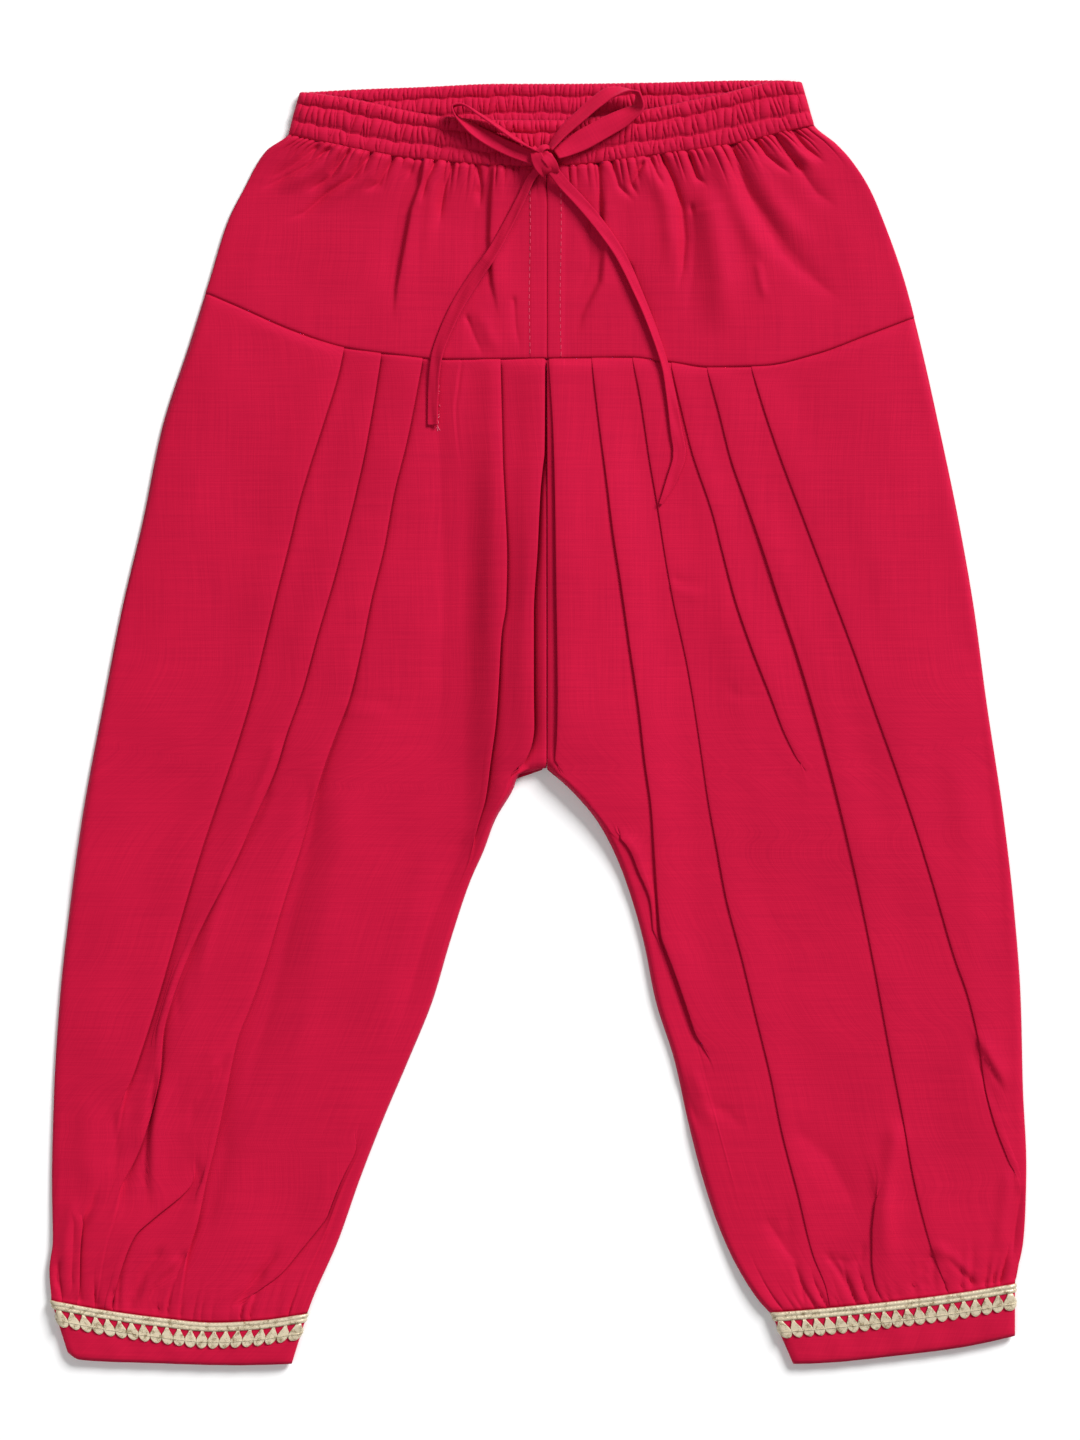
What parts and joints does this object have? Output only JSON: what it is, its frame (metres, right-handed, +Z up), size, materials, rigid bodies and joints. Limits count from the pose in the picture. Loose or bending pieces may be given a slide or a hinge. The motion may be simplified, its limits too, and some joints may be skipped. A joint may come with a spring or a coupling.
{
  "type": "child's pleated harem trousers with drawstring waist and gold lace cuffs, laid flat",
  "caption": "Pleated cotton harem trousers laid flat: gathered drawstring waistband, shaped yoke, knife-pleated legs and narrow lace-trimmed cuffs.",
  "frame": {"origin": "on the surface that the trousers lie on, under the middle of their outline", "axes": "+X across the garment to the right as seen from above, +Y along it towards the waist, +Z up from the surface"},
  "size_m": [0.4387, 0.577, 0.0132],
  "materials": {
    "crimson_cotton": "plain woven cotton, matt with a faint sheen",
    "gold_lace": "woven metallic thread, pale gold with a soft glint"
  },
  "bodies": {
    "root": {"waistband_front": "crimson_cotton", "waistband_back": "crimson_cotton", "yoke_front_left": "crimson_cotton", "yoke_front_right": "crimson_cotton", "yoke_back": "crimson_cotton", "leg_front_left": "crimson_cotton", "leg_front_right": "crimson_cotton", "leg_back_left": "crimson_cotton", "leg_back_right": "crimson_cotton", "cuff_left": "crimson_cotton", "cuff_right": "crimson_cotton", "lace_left": "gold_lace", "lace_right": "gold_lace", "drawstring_knot": "crimson_cotton", "drawstring_loop_left": "crimson_cotton", "drawstring_loop_right": "crimson_cotton", "drawstring_tail_left": "crimson_cotton", "drawstring_tail_right": "crimson_cotton"}
  },
  "joints": []
}
